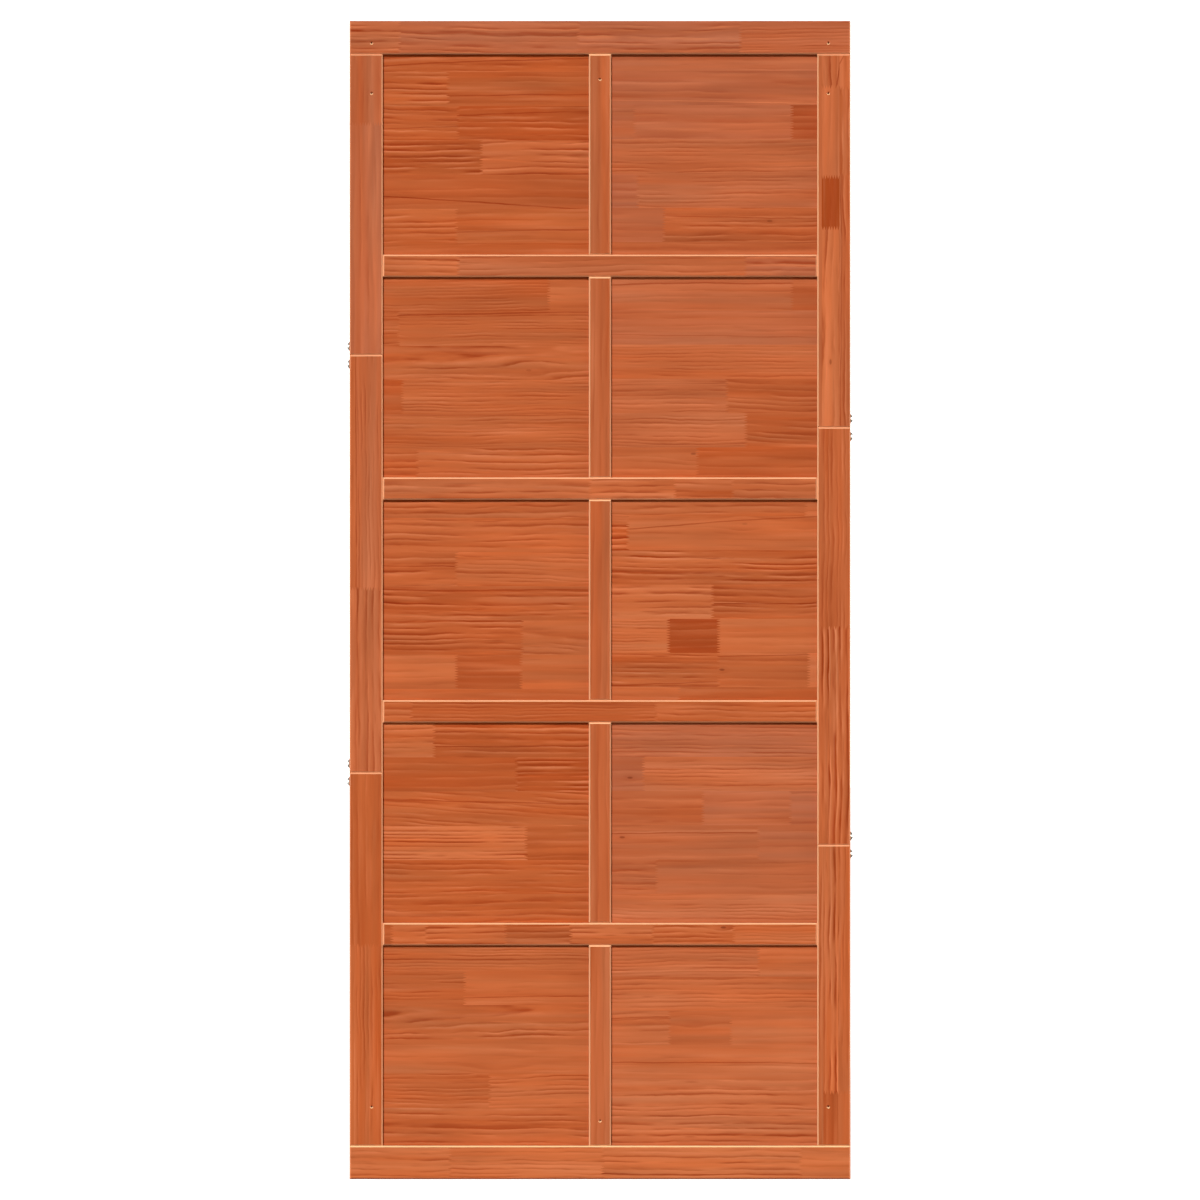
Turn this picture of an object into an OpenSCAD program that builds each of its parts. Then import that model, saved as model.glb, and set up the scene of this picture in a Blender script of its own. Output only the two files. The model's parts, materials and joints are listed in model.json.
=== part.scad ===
// Panelled pine barn door leaf: a framed door of ten recessed panels, with spliced stiles.
// Front view: +X is to the right, +Z is up and the front faces -Y.
// The origin is on the front face of the top rail, at the middle of its length and height.
// All lengths are in millimetres.

/* [Door] */
// Overall width of the door
door_w = 900; // [700:10:1200]
// Overall height of the door
door_h = 2080; // [1800:10:2400]
// Thickness of the frame members, front to back
frame_t = 35; // [30:1:50]

/* [Frame members] */
// Height of the top rail and of the bottom rail
rail_h = 60; // [50:1:120]
// Width of the two outer stiles
stile_w = 60; // [55:1:120]
// Height of the four cross rails
cross_h = 40; // [32:1:90]
// Width of the centre mullion
mullion_w = 40; // [32:1:90]
// Chamfer on the front and back arrises
arris = 2.5; // [0.5:0.5:4]

/* [Panels] */
// Thickness of the ten panels
panel_t = 15; // [8:1:20]
// Depth of the panel grooves
groove_d = 10; // [6:0.5:12]
// Play between a panel or a tongue and each wall of its groove
groove_play = 0.2; // [0.1:0.1:0.5]
// Play left at the edges of a panel for the wood to move
panel_play = 1.5; // [0.5:0.5:3]
// Wood left between the end of a rail's groove and the edge of the door
groove_stop = 12; // [8:1:15]
// Play at the end of a tongue
tongue_play = 0.5; // [0.2:0.1:1]

/* [Stile splices] */
// How far the short piece, top left and bottom right, runs past the middle of its cross rail
short_past_rail = 160; // [60:10:240]
// How far the middle piece runs past the middle of its last cross rail
middle_past_rail = 110; // [60:10:240]

/* [Splice bolts] */
// Distance between the two bolts of a splice
splice_pitch = 32; // [26:1:60]
// Diameter of a bolt's domed head
bolt_head_d = 16.5; // [12:0.5:22]
// Height of the domed head
bolt_head_h = 5; // [3:0.5:8]
// Diameter of the bolt's shank
bolt_d = 8; // [6:0.5:10]
// Length of the shank
bolt_l = 38; // [20:1:40]
// Width across the flats of the key socket
socket_af = 5; // [4:0.5:6]
// Depth of the key socket
socket_d = 2.5; // [1:0.5:2.5]

/* [Edge screws] */
// Diameter of a screw's raised countersunk head
screw_head_d = 8.6; // [6:0.2:11]
// Height that the head stands out of the wood
screw_crown = 0.5; // [0.2:0.1:1.5]
// Diameter of the screw's shank
screw_d = 4.5; // [3:0.5:6]
// Length of a screw under its crown
screw_l = 80; // [70:5:90]
// Distance from the door's edge to the screws in the top edge
screw_inset = 20; // [16:1:40]
// Depth of the slot across a screw's head
slot_d = 0.6; // [0.3:0.1:1]
// Width of the slot
slot_w = 1.2; // [0.6:0.2:2]
// Play of a bolt or screw in its hole, on the radius
hole_play = 0.2; // [0.1:0.1:0.4]

/* [Pilot holes] */
// Diameter of a pilot hole in the front face
pilot_d = 2.8; // [2:0.2:6]
// Depth of a pilot hole
pilot_depth = 22; // [10:1:25]
// Diameter of the countersink at its mouth
pilot_mouth_d = 6; // [4:0.5:10]
// Distance from the door's edge to the outer pilot holes
pilot_inset = 40; // [35:1:45]
// Distance from the top edge to the pilot holes in the top rail
pilot_rail_drop = 40; // [35:1:42]
// Distance from the top or bottom edge to the pilot holes in the stiles
pilot_stile_drop = 130; // [90:5:200]
// Distance from the top or bottom edge to the pilot holes in the mullion
pilot_mullion_drop = 105; // [90:5:200]

/* [Hidden] */
// Rows of panels: the mullions, panels and cross rails are one module for each row
rows = 5;
left = -1;
right = 1;
top_z = rail_h / 2;
bottom_z = top_z - door_h;
stile_top = top_z - rail_h;
stile_bottom = bottom_z + rail_h;
stile_inner = door_w / 2 - stile_w;
open_w = stile_inner - mullion_w / 2;
open_h = (stile_top - stile_bottom - (rows - 1) * cross_h) / rows;
row_step = open_h + cross_h;
mid_y = frame_t / 2;
groove_t = panel_t + 2 * groove_play;
tongue_l = groove_d - tongue_play;
cross_web = cross_h - 2 * groove_d;
mullion_web = mullion_w - 2 * groove_d;
panel_w = open_w + 2 * (groove_d - panel_play);
panel_h = open_h + 2 * groove_d - panel_play;
// A cut runs this far past the face that it opens
overrun = 1;
// Corners of the hexagonal key socket
socket_sides = 6;
// Faces around the small turned pieces
round_fn = 48;

// Heights that the pieces share

// Top of the opening of a row, counted from the top
function row_top(row) = stile_top - (row - 1) * row_step;
function row_bottom(row) = row_top(row) - open_h;
function cross_rail_mid(i) = row_bottom(i) - cross_h / 2;
// The right stile is the left one turned upside down, so its short piece is the lowest
function upper_splice(side) =
    side == left ? cross_rail_mid(1) - short_past_rail : cross_rail_mid(2) + middle_past_rail;
function lower_splice(side) =
    side == left ? cross_rail_mid(3) - middle_past_rail : cross_rail_mid(4) + short_past_rail;

// Shapes of the joinery

// Rectangle with its four corners cut off
module cut_corner_rectangle(a, b) {
    polygon([
        [arris, 0], [a - arris, 0], [a, arris], [a, b - arris],
        [a - arris, b], [arris, b], [0, b - arris], [0, arris]
    ]);
}

// Square piece of timber in the frame, chamfered around its front face and its back face
module timber(x0, x1, z0, z1) {
    translate([x0, 0, z0])
        intersection() {
            linear_extrude(height = z1 - z0)
                cut_corner_rectangle(x1 - x0, frame_t);
            rotate([90, 0, 90])
                linear_extrude(height = x1 - x0)
                    cut_corner_rectangle(frame_t, z1 - z0);
        }
}

// Block of any thickness centred in the thickness of the frame
module centred_block(x0, x1, z0, z1, thickness) {
    translate([x0, mid_y - thickness / 2, z0])
        cube([x1 - x0, thickness, z1 - z0]);
}

module groove(x0, x1, z0, z1) {
    centred_block(x0, x1, z0, z1, groove_t);
}

module tongue(x0, x1, z0, z1) {
    centred_block(x0, x1, z0, z1, panel_t);
}

// Profile of a bolt from its dome down to its tip, for turning about the vertical axis
module bolt_profile(play) {
    dome_r = (bolt_head_d * bolt_head_d / 4 + bolt_head_h * bolt_head_h) / (2 * bolt_head_h);
    translate([0, -bolt_l - play])
        square([bolt_d / 2 + play, bolt_l + play]);
    intersection() {
        translate([0, bolt_head_h - dome_r])
            circle(r = dome_r, $fn = 4 * round_fn);
        square([bolt_head_d / 2, bolt_head_h]);
    }
}

// Domed bolt that stands on z = 0 and points down
module bolt() {
    difference() {
        rotate_extrude($fn = round_fn)
            bolt_profile(0);
        translate([0, 0, bolt_head_h - socket_d])
            cylinder(h = socket_d + overrun, d = socket_af / cos(180 / socket_sides), $fn = socket_sides);
    }
}

module bolt_hole() {
    translate([0, 0, -bolt_l - hole_play])
        cylinder(h = bolt_l + hole_play + overrun, d = bolt_d + 2 * hole_play, $fn = round_fn);
}

// Countersunk screw with a raised head: its rim lies on z = 0 and it points down
module screw() {
    head_r = screw_head_d / 2;
    taper = head_r - screw_d / 2;
    crown_r = (head_r * head_r + screw_crown * screw_crown) / (2 * screw_crown);
    difference() {
        rotate_extrude($fn = round_fn)
            union() {
                polygon([
                    [0, 0], [head_r, 0], [screw_d / 2, -taper],
                    [screw_d / 2, screw_d - screw_l], [0, -screw_l]
                ]);
                intersection() {
                    translate([0, screw_crown - crown_r])
                        circle(r = crown_r, $fn = 8 * round_fn);
                    square([head_r, screw_crown]);
                }
            }
        translate([-head_r, -slot_w / 2, screw_crown - slot_d])
            cube([2 * head_r, slot_w, slot_d + overrun]);
    }
}

module screw_hole() {
    taper = (screw_head_d - screw_d) / 2;
    translate([0, 0, -screw_l - hole_play])
        cylinder(h = screw_l + hole_play + overrun, d = screw_d + 2 * hole_play, $fn = round_fn);
    translate([0, 0, -taper])
        cylinder(
            h = taper + hole_play, d1 = screw_d + 2 * hole_play,
            d2 = screw_head_d + 4 * hole_play, $fn = round_fn
        );
}

// Countersunk pilot hole in the front face
module pilot_hole(x, z) {
    mouth_depth = (pilot_mouth_d - pilot_d) / 2;
    translate([x, 0, z])
        rotate([-90, 0, 0]) {
            translate([0, 0, -overrun])
                cylinder(h = pilot_depth + overrun, d = pilot_d, $fn = round_fn);
            translate([0, 0, -mouth_depth])
                cylinder(h = 2 * mouth_depth, d1 = pilot_mouth_d + 2 * mouth_depth, d2 = pilot_d, $fn = round_fn);
        }
}

// Places of the fasteners

// Turns what points down so that it goes into an outer edge of the door
module at_edge(side, z) {
    translate([side * door_w / 2, mid_y, z])
        rotate([0, side * 90, 0])
            children();
}

module at_splice(side, z) {
    for (half = [-1, 1])
        at_edge(side, z + half * splice_pitch / 2)
            children();
}

module at_cross_rails(side) {
    for (i = [1:rows - 1])
        at_edge(side, cross_rail_mid(i))
            children();
}

module at_top_edge() {
    for (side = [left, right])
        translate([side * (door_w / 2 - screw_inset), mid_y, top_z])
            children();
}

// Rails

module top_rail() {
    color("peru")
        difference() {
            timber(-door_w / 2, door_w / 2, stile_top, top_z);
            groove(
                groove_stop - door_w / 2, door_w / 2 - groove_stop,
                stile_top - overrun, stile_top + groove_d
            );
            at_top_edge()
                screw_hole();
            for (side = [left, right])
                pilot_hole(side * (door_w / 2 - pilot_inset), top_z - pilot_rail_drop);
        }
}

module bottom_rail() {
    color("peru")
        difference() {
            timber(-door_w / 2, door_w / 2, bottom_z, stile_bottom);
            groove(
                groove_stop - door_w / 2, door_w / 2 - groove_stop,
                stile_bottom - groove_d, stile_bottom + overrun
            );
        }
}

module cross_rail(i) {
    z = cross_rail_mid(i);
    color("peru")
        difference() {
            union() {
                timber(-stile_inner, stile_inner, z - cross_h / 2, z + cross_h / 2);
                tongue(
                    -stile_inner - tongue_l, stile_inner + tongue_l,
                    z - cross_web / 2, z + cross_web / 2
                );
            }
            for (low = [z - cross_h / 2 - overrun, z + cross_h / 2 - groove_d])
                groove(-stile_inner - overrun, stile_inner + overrun, low, low + groove_d + overrun);
            for (side = [left, right])
                at_edge(side, z)
                    screw_hole();
        }
}

// Stiles

// One piece of a stile between two heights, with the holes that fall in it
module stile_piece(side, z0, z1) {
    inner = side * stile_inner;
    outer = side * door_w / 2;
    edge_of_groove = inner + side * groove_d;
    difference() {
        timber(min(inner, outer), max(inner, outer), z0, z1);
        groove(
            min(inner - side * overrun, edge_of_groove), max(inner - side * overrun, edge_of_groove),
            z0 - overrun, z1 + overrun
        );
        at_cross_rails(side)
            screw_hole();
        for (z = [upper_splice(side), lower_splice(side)])
            at_splice(side, z)
                bolt_hole();
        for (z = [top_z - pilot_stile_drop, bottom_z + pilot_stile_drop])
            pilot_hole(side * (door_w / 2 - pilot_inset), z);
    }
}

// Stub tongue that fits a rail's groove beside the panel, from one height to another
module stile_tongue(side, z0, z1) {
    from = side * (stile_inner + groove_d);
    to = side * (door_w / 2 - groove_stop - tongue_play);
    tongue(min(from, to), max(from, to), z0, z1);
}

module stile_upper(side) {
    color("chocolate")
        difference() {
            union() {
                stile_piece(side, upper_splice(side), stile_top);
                stile_tongue(side, stile_top - groove_d, stile_top + tongue_l);
            }
            at_top_edge()
                screw_hole();
        }
}

module stile_middle(side) {
    color("sienna")
        stile_piece(side, lower_splice(side), upper_splice(side));
}

module stile_lower(side) {
    color("chocolate")
        union() {
            stile_piece(side, stile_bottom, lower_splice(side));
            stile_tongue(side, stile_bottom - tongue_l, stile_bottom + groove_d);
        }
}

// Mullion of one row, tongued into the rails above and below it

module mullion(row) {
    color("chocolate")
        difference() {
            union() {
                timber(-mullion_w / 2, mullion_w / 2, row_bottom(row), row_top(row));
                tongue(
                    -mullion_web / 2, mullion_web / 2,
                    row_bottom(row) - tongue_l, row_top(row) + tongue_l
                );
            }
            for (x = [-mullion_w / 2 - overrun, mullion_w / 2 - groove_d])
                groove(x, x + groove_d + overrun, row_bottom(row) - overrun, row_top(row) + overrun);
            for (z = [top_z - pilot_mullion_drop, bottom_z + pilot_mullion_drop])
                pilot_hole(0, z);
        }
}

// Panel of one row: it stands on the bottom of its lower groove

module panel(side, row) {
    middle = side * (mullion_w + open_w) / 2;
    color("burlywood")
        tongue(
            middle - panel_w / 2, middle + panel_w / 2,
            row_bottom(row) - groove_d, row_bottom(row) - groove_d + panel_h
        );
}

// Fasteners

module splice_bolts(side, z) {
    color("silver")
        at_splice(side, z)
            bolt();
}

module edge_screws(side) {
    color("silver")
        at_cross_rails(side)
            screw();
}

module top_edge_screws() {
    color("silver")
        at_top_edge()
            screw();
}

top_rail();
bottom_rail();
stile_upper(left);  // left_stile_upper
stile_middle(left);  // left_stile_middle
stile_lower(left);  // left_stile_lower
stile_upper(right);  // right_stile_upper
stile_middle(right);  // right_stile_middle
stile_lower(right);  // right_stile_lower
cross_rail(1);  // cross_rail_1
cross_rail(2);  // cross_rail_2
cross_rail(3);  // cross_rail_3
cross_rail(4);  // cross_rail_4
mullion(1);  // mullion_1
mullion(2);  // mullion_2
mullion(3);  // mullion_3
mullion(4);  // mullion_4
mullion(5);  // mullion_5
panel(left, 1);  // panel_left_1
panel(left, 2);  // panel_left_2
panel(left, 3);  // panel_left_3
panel(left, 4);  // panel_left_4
panel(left, 5);  // panel_left_5
panel(right, 1);  // panel_right_1
panel(right, 2);  // panel_right_2
panel(right, 3);  // panel_right_3
panel(right, 4);  // panel_right_4
panel(right, 5);  // panel_right_5
splice_bolts(left, upper_splice(left));  // left_upper_splice_bolts
splice_bolts(left, lower_splice(left));  // left_lower_splice_bolts
splice_bolts(right, upper_splice(right));  // right_upper_splice_bolts
splice_bolts(right, lower_splice(right));  // right_lower_splice_bolts
edge_screws(left);  // left_edge_screws
edge_screws(right);  // right_edge_screws
top_edge_screws();
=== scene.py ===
"""Looks of the panelled pine barn door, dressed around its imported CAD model.

Every timber and panel is shown by a copy of its CAD solid in which the glue lines and the finger joints
of the staves are cut as real edges. Each stave then has its own tone, growth rings and grain. Lengths are
in metres unless a name ends in _mm. The front faces -Y. On a board u runs along the grain, to the right
or down, and v runs across it, down or to the right.
"""

import json
import math
import random

import bmesh
import bpy
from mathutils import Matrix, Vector


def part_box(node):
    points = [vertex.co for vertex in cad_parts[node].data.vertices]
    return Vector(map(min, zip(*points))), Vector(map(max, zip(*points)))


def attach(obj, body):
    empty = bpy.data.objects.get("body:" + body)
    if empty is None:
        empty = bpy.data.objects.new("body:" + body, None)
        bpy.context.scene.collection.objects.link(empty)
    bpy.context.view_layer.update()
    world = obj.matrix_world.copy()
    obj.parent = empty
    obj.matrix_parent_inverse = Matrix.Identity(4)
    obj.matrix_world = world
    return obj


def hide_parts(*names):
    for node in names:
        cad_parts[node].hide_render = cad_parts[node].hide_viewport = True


MM = 0.001

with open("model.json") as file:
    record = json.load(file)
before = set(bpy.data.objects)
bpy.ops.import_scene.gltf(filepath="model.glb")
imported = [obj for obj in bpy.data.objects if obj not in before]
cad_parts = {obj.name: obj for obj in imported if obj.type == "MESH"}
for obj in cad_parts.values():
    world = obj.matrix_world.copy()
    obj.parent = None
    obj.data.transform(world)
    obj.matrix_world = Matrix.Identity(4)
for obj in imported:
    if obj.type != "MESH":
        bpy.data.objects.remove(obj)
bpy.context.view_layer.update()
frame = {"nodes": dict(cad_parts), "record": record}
SLOTS = {s["node"]: s["material_slot"] for s in frame["record"]["subparts"]}


# Measures read from the frame

rail_low, rail_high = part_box("top_rail")
mullion_low, mullion_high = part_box("mullion_1")
DOOR_LEFT, DOOR_RIGHT = rail_low.x, rail_high.x
DOOR_TOP, DOOR_BOTTOM = rail_high.z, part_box("bottom_rail")[0].z
FRONT = rail_low.y
PANEL_VIEW_W = mullion_low.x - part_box("left_stile_upper")[1].x
PANEL_VIEW_H = mullion_high.z - mullion_low.z


# The staves of each timber

STAVE_PITCH_MM = 61.5
FINGER_PITCH = 4.6 * MM
FINGER_LENGTH = 8 * MM
# Stands for the far end or the far side of a board, past any real one
EDGE = 10000

# Each figure of the wood: how strong its rings are, their spacing, how far their pith is to the side and
# behind the face, how fast it nears the face along the grain, and how far the rings lean and wander
FIGURE_KEYS = ("contrast", "spacing_mm", "aside_mm", "behind_mm", "slope", "lean", "wander")
FIGURES = {
    "plain": (0.25, 12, 90, 30, 0.01, 0.0, 0.7),
    "lines": (0.62, 10.5, 85, 22, 0.01, 0.0, 0.9),
    "strong": (0.98, 10, 95, 16, 0.01, 0.0, 0.7),
    "fine": (0.50, 6.5, 85, 16, 0.01, 0.0, 0.8),
    "comb": (0.85, 7.5, 95, 12, 0.005, 0.0, 0.4),
    "falling": (0.5, 8, 70, 15, 0.01, -0.07, 0.8),
    "swirl": (0.65, 9, 20, 20, 0.03, 0.0, 1.3),
}
# Each stave's own wood is its figure's times a chance share between these
SHARES = {
    "contrast": (0.85, 1.15),
    "spacing_mm": (0.85, 1.15),
    "aside_mm": (0.7, 1.3),
    "behind_mm": (0.8, 1.3),
    "slope": (0.6, 1.3),
    "lean": (0.7, 1.3),
}
# Its rings also lean by up to this more or less, in metres across for each metre along
LEAN_SPREAD = 0.008

# Panels: where the first row ends in mm from the top of the panel in view, how pink the panel is, then each
# row from the top down. A stave is where it ends in mm from the left, its figure and its tone, from -1 dark
# to 1 light. A further number is the stave's own pinkness. Some staves have one resin line, as its
# distance in mm from the top at the stave's left end and right end, and its strength, under 0 if it is pale
PANEL_STAVES = {
    "panel_left_1": (40, 0.0, [
        [(EDGE, "lines", -0.1, (29, 17, 0.9))],
        [(117, "strong", 0.05), (EDGE, "plain", -0.2, (85, 82, 0.8))],
        [(135, "lines", -0.1, (143, 136, 0.8)), (EDGE, "lines", -0.5, (118, 110, 0.9))],
        [(177, "strong", -0.35), (EDGE, "strong", 0.15, 0.2)],
        [(EDGE, "plain", -0.2, 0.1, (263, 288, 1.2))],
        [(132, "lines", 0.05), (EDGE, "plain", 0.0, (328, 322, 0.8))],
        [(EDGE, "plain", -0.1)],
    ]),
    "panel_right_1": (38, 0.7, [
        [(EDGE, "plain", 0.15, 0.8)],
        [(EDGE, "plain", -0.3, 0.9, (92, 96, -0.8))],
        [(42, "plain", 0.15, 0.9), (325, "plain", -0.25, 0.8), (EDGE, "plain", -0.9, 0.3)],
        [(EDGE, "fine", 0.15, 0.5)],
        [(48, "plain", -0.4, 1.0), (EDGE, "fine", 0.2, 0.6)],
        [(95, "plain", 0.15, 0.9), (EDGE, "lines", -0.2, 0.2, (300, 304, 0.7))],
        [(EDGE, "plain", 0.0, 0.3)],
    ]),
    "panel_left_2": (9, 0.1, [
        [(EDGE, "fine", -0.2)],
        [(298, "fine", -0.05), (EDGE, "plain", 0.45)],
        [(28, "fine", -0.15), (EDGE, "fine", 0.15, (75, 73, 1.1))],
        [(EDGE, "swirl", 0.15)],
        [(35, "plain", -0.3), (EDGE, "fine", 0.25)],
        [(EDGE, "fine", 0.1, (257, 258, 0.6))],
        [(62, "lines", 0.0), (EDGE, "lines", 0.1)],
    ]),
    "panel_right_2": (7, 0.35, [
        [(EDGE, "plain", 0.2)],
        [(325, "plain", 0.4, 0.6, (22, 20, 0.8)), (EDGE, "plain", -0.2)],
        [(EDGE, "plain", 0.0, 0.7, (110, 118, 0.5))],
        [(EDGE, "fine", 0.25, 0.3)],
        [(208, "fine", 0.3, 0.45, (203, 200, 0.5)), (EDGE, "falling", -0.05, 0.2)],
        [(242, "fine", 0.3, 0.4), (EDGE, "falling", -0.15, 0.15)],
        [(155, "plain", 0.1, 0.2), (EDGE, "plain", -0.25, 0.1)],
    ]),
    "panel_left_3": (41, 0.1, [
        [(EDGE, "lines", 0.25)],
        [(EDGE, "lines", 0.25)],
        [(132, "lines", 0.0, (127, 128, 1.1)), (EDGE, "falling", 0.3)],
        [(EDGE, "strong", -0.15, (170, 171, 0.9))],
        [(250, "strong", -0.15), (EDGE, "swirl", 0.2)],
        [(132, "plain", 0.35), (248, "plain", -0.5), (EDGE, "plain", 0.55)],
        [(EDGE, "plain", 0.1)],
    ]),
    "panel_right_3": (38, 0.1, [
        [(350, "lines", 0.3), (EDGE, "plain", 0.5)],
        [(30, "strong", -0.15), (EDGE, "plain", 0.5, (60, 38, 0.8))],
        [(EDGE, "strong", -0.05)],
        [(182, "lines", 0.7), (EDGE, "lines", -0.15, (196, 194, 1.1))],
        [(103, "fine", 0.55), (193, "plain", -1.0), (EDGE, "plain", 0.35)],
        [(193, "comb", -0.1, (341, 335, 0.8)), (355, "plain", 0.1, (291, 286, 0.8)), (EDGE, "plain", 0.8)],
        [(122, "plain", 0.4), (EDGE, "plain", 0.0)],
    ]),
    "panel_left_4": (10, 0.0, [
        [(EDGE, "plain", -0.3)],
        [(92, "lines", 0.35), (EDGE, "lines", -0.15, (53, 50, 1.0))],
        [(240, "plain", -0.3), (EDGE, "comb", -0.5)],
        [(EDGE, "falling", 0.1, (147, 156, 0.8))],
        [(257, "comb", 0.65), (EDGE, "plain", -0.2)],
        [(EDGE, "lines", -0.1)],
        [(EDGE, "lines", 0.0)],
    ]),
    "panel_right_4": (9, 0.6, [
        [(EDGE, "comb", -0.3)],
        [(EDGE, "fine", 0.1, 0.9, (60, 64, 0.6))],
        [(58, "plain", -0.2, 0.9), (EDGE, "fine", 0.65)],
        [(165, "plain", -0.05, 0.5), (322, "plain", 0.1, 0.9), (EDGE, "plain", -0.45, 1.0)],
        [(265, "plain", 0.1, 0.6, (208, 208, 0.9)), (EDGE, "plain", 0.4, 0.9)],
        [(82, "lines", 0.0, 0.6), (EDGE, "plain", 0.2, 0.6)],
        [(EDGE, "fine", 0.6, 0.5)],
    ]),
    "panel_left_5": (55, 0.1, [
        [(EDGE, "fine", 0.2, (35, 34, 0.8))],
        [(147, "fine", 0.15), (EDGE, "plain", 0.2, (102, 100, 1.1))],
        [(EDGE, "swirl", 0.25)],
        [(EDGE, "plain", 0.4)],
        [(192, "fine", 0.05), (EDGE, "fine", 0.4)],
        [(EDGE, "lines", 0.15)],
    ]),
    "panel_right_5": (4, 0.3, [
        [(EDGE, "plain", 0.3, 0.4)],
        [(265, "fine", 0.35, 0.4, (56, 56, -0.9)), (EDGE, "plain", 0.6, 0.3)],
        [(EDGE, "fine", 0.65, 0.3)],
        [(105, "lines", 0.5, 0.3, (140, 139, 0.9)), (215, "plain", 0.15), (EDGE, "plain", 0.4)],
        [(EDGE, "plain", 0.55, 0.3, (220, 222, 0.8))],
        [(EDGE, "lines", 0.65)],
        [(EDGE, "strong", 0.65)],
    ]),
}

# Frame timbers: how pink each is, then each lamination in the order of v, as where it ends in mm across,
# and its staves, which end in mm from the left or the top. The rest is as for panels
FRAME_STAVES = {
    "top_rail": (0.9, [
        (EDGE, [
            (90, "strong", 0.2, 0.5), (411, "lines", 0.15), (702, "lines", -0.1, 1.1),
            (EDGE, "fine", -0.1, 0.8),
        ]),
    ]),
    "bottom_rail": (0.0, [
        (EDGE, [
            (181, "lines", 0.95), (455, "fine", 1.0), (810, "lines", 0.95, (50, 53, 0.9)),
            (EDGE, "plain", 0.75),
        ]),
    ]),
    "cross_rail_1": (0.4, [
        (EDGE, [(145, "strong", 0.5, 0.1), (661, "lines", 0.3), (EDGE, "lines", -0.25, 1.0)]),
    ]),
    "cross_rail_2": (0.25, [
        (EDGE, [(382, "lines", 0.6), (534, "strong", 0.85), (638, "lines", 0.0), (EDGE, "lines", 0.5)]),
    ]),
    "cross_rail_3": (0.1, [
        (EDGE, [(61, "lines", 0.0), (500, "fine", -0.15, (5, 9, 0.6)), (EDGE, "lines", 0.0)]),
    ]),
    "cross_rail_4": (0.1, [
        (EDGE, [
            (26, "plain", -0.3), (88, "lines", 0.5), (230, "strong", 0.35), (347, "lines", -0.15),
            (494, "strong", 0.55), (640, "lines", 0.15), (EDGE, "fine", 0.5),
        ]),
    ]),
    "left_stile_upper": (0.9, [
        (EDGE, [(135, "plain", 0.15, 0.6), (EDGE, "plain", 0.1)]),
    ]),
    "left_stile_middle": (0.4, [
        (13, [(420, "plain", 0.1, 0.2, (12, 12, 0.8)), (EDGE, "lines", 0.2)]),
        (EDGE, [(420, "fine", 0.4, 0.5), (EDGE, "lines", 0.35)]),
    ]),
    "left_stile_lower": (0.0, [
        (EDGE, [(310, "plain", -0.05), (EDGE, "fine", 0.15)]),
    ]),
    "right_stile_upper": (0.3, [
        (8, [(EDGE, "plain", 0.6)]),
        (40, [
            (68, "swirl", 0.3, 0.3, (44, 33, 1.1)), (230, "plain", 0.75), (322, "plain", -1.0, 0.0),
            (EDGE, "swirl", 0.75, 0.1),
        ]),
        (EDGE, [
            (70, "plain", 0.5, (53, 16, 1.1)), (225, "lines", -0.3, 0.1),
            (EDGE, "lines", -0.1, (42, 42, 0.8)),
        ]),
    ]),
    "right_stile_middle": (0.2, [
        (EDGE, [(360, "fine", 0.05), (EDGE, "strong", 0.0)]),
    ]),
    "right_stile_lower": (0.1, [
        (11, [(EDGE, "lines", 0.5)]),
        (38, [(444, "strong", 0.6), (EDGE, "plain", -0.3)]),
        (EDGE, [(444, "strong", 0.35), (EDGE, "plain", 0.1)]),
    ]),
}

# Small knots: how far each is from the left and from the top of the panel in view, or of the timber, how
# far the grain parts round it, and how dark its core is, from 0 for a core that doesn't show
KNOTS_MM = {
    "panel_left_2": [(262, 176, 22, 0.25)],
    "panel_left_5": [(366, 184, 16, 0.6), (205, 214, 22, 0.0)],
    "panel_right_1": [(285, 308, 6, 0.5)],
    "panel_right_2": [(148, 326, 16, 0.5)],
    "panel_right_3": [(240, 52, 16, 0.2), (199, 314, 8, 0.6)],
    "panel_right_4": [(20, 215, 8, 0.6), (34, 108, 7, 0.6)],
    "panel_right_5": [(150, 150, 14, 0.0)],
    "cross_rail_4": [(621, 8, 9, 0.7)],
    "right_stile_upper": [(30, 534, 8, 0.6), (24, 562, 7, 0.5)],
}
# A mullion is one plain piece, with a tone between these
MULLION_TONES = (0.15, 0.35)
MULLION_PINK = 0.3


class Board:
    """The way one timber lies, with its u along the grain and its v across it."""

    def __init__(self, node, upright):
        self.node = node
        self.upright = upright
        self.u_axis = Vector((0, 0, -1)) if upright else Vector((1, 0, 0))
        self.v_axis = Vector((1, 0, 0)) if upright else Vector((0, 0, -1))
        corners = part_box(node)
        self.u0, self.u1 = sorted(c.dot(self.u_axis) for c in corners)
        self.v0, self.v1 = sorted(c.dot(self.v_axis) for c in corners)
        # The tables measure a panel where it is in view and any other timber from its end and its side
        length, width = self.u1 - self.u0, self.v1 - self.v0
        in_view = (PANEL_VIEW_W, PANEL_VIEW_H) if node in PANEL_STAVES else (length, width)
        self.start_u = self.u0 + (length - in_view[0]) / 2
        self.start_v = self.v0 + (width - in_view[1]) / 2
        self.length_mm = in_view[0] / MM

    def place(self, right_mm, down_mm):
        """The u and v of a point that lies this far right and down on the board."""
        along_mm, across_mm = (down_mm, right_mm) if self.upright else (right_mm, down_mm)
        return self.start_u + along_mm * MM, self.start_v + across_mm * MM


NO_LINE = (0.0, 0.0, 0.0)
NO_KNOT = (0.0, 0.0, 0.0)


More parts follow.
